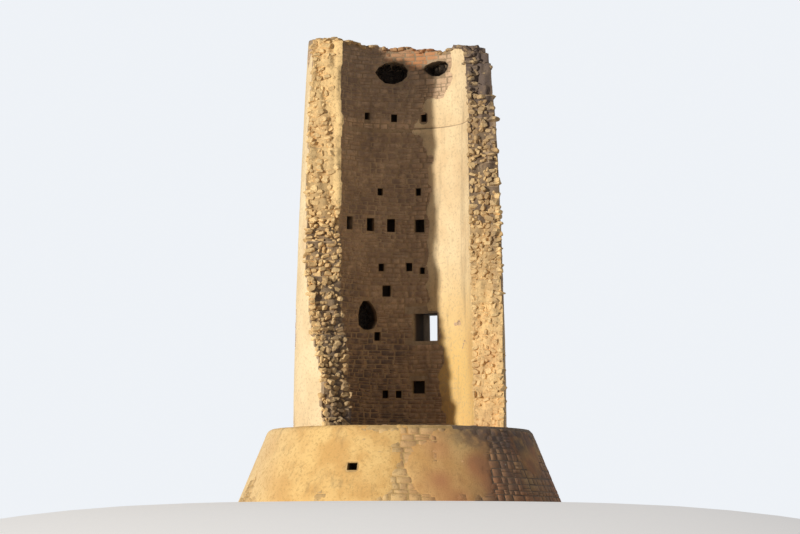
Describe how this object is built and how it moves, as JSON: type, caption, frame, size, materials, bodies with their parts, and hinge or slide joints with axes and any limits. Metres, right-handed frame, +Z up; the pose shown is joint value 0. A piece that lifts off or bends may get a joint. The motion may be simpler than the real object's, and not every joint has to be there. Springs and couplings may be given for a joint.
{
  "type": "ruined round coastal watchtower",
  "caption": "Tall tapering round rubble-stone watchtower in ruin, open along its front from base to crest, on a low battered round base, with a window and beam sockets inside.",
  "frame": {"origin": "on the ground at the centre of the round base", "axes": "+Z up the tower's axis, -Y towards the fallen side, +X to the right seen from there"},
  "size_m": [10.6996, 10.6996, 15.7973],
  "materials": {
    "base_masonry": "weathered lime render over coursed stone",
    "base_fill": "rubble and lime mortar",
    "wall_masonry": "coursed rubble with lime mortar, weathered",
    "parapet_masonry": "coursed rubble, weathered and stained",
    "dressed_stone": "dressed limestone, worn"
  },
  "bodies": {
    "root": {"base_core": "base_fill", "base_wall_right": "base_masonry", "base_wall_right_back": "base_masonry", "base_wall_back": "base_masonry", "base_wall_left_back": "base_masonry", "base_wall_left": "base_masonry", "base_wall_left_front": "base_masonry", "base_wall_front": "base_masonry", "base_wall_right_front": "base_masonry", "lower_wall_right": "wall_masonry", "lower_wall_right_back": "wall_masonry", "lower_wall_under_window": "wall_masonry", "lower_wall_back": "wall_masonry", "lower_wall_back_left": "wall_masonry", "lower_wall_left_back": "wall_masonry", "lower_wall_left": "wall_masonry", "lower_wall_left_front": "wall_masonry", "lower_wall_over_window": "wall_masonry", "upper_wall_right": "wall_masonry", "upper_wall_right_back": "wall_masonry", "upper_wall_over_window": "wall_masonry", "upper_wall_back": "wall_masonry", "upper_wall_back_left": "wall_masonry", "upper_wall_left_back": "wall_masonry", "upper_wall_left": "wall_masonry", "parapet_right": "parapet_masonry", "parapet_right_back": "parapet_masonry", "parapet_back_right": "parapet_masonry", "parapet_back": "parapet_masonry", "parapet_back_left": "parapet_masonry", "parapet_left_back": "parapet_masonry", "parapet_left": "parapet_masonry", "window_sill": "dressed_stone", "window_jamb_left": "dressed_stone", "window_jamb_right": "dressed_stone", "window_lintel": "dressed_stone", "niche_lintel": "dressed_stone"}
  },
  "joints": []
}
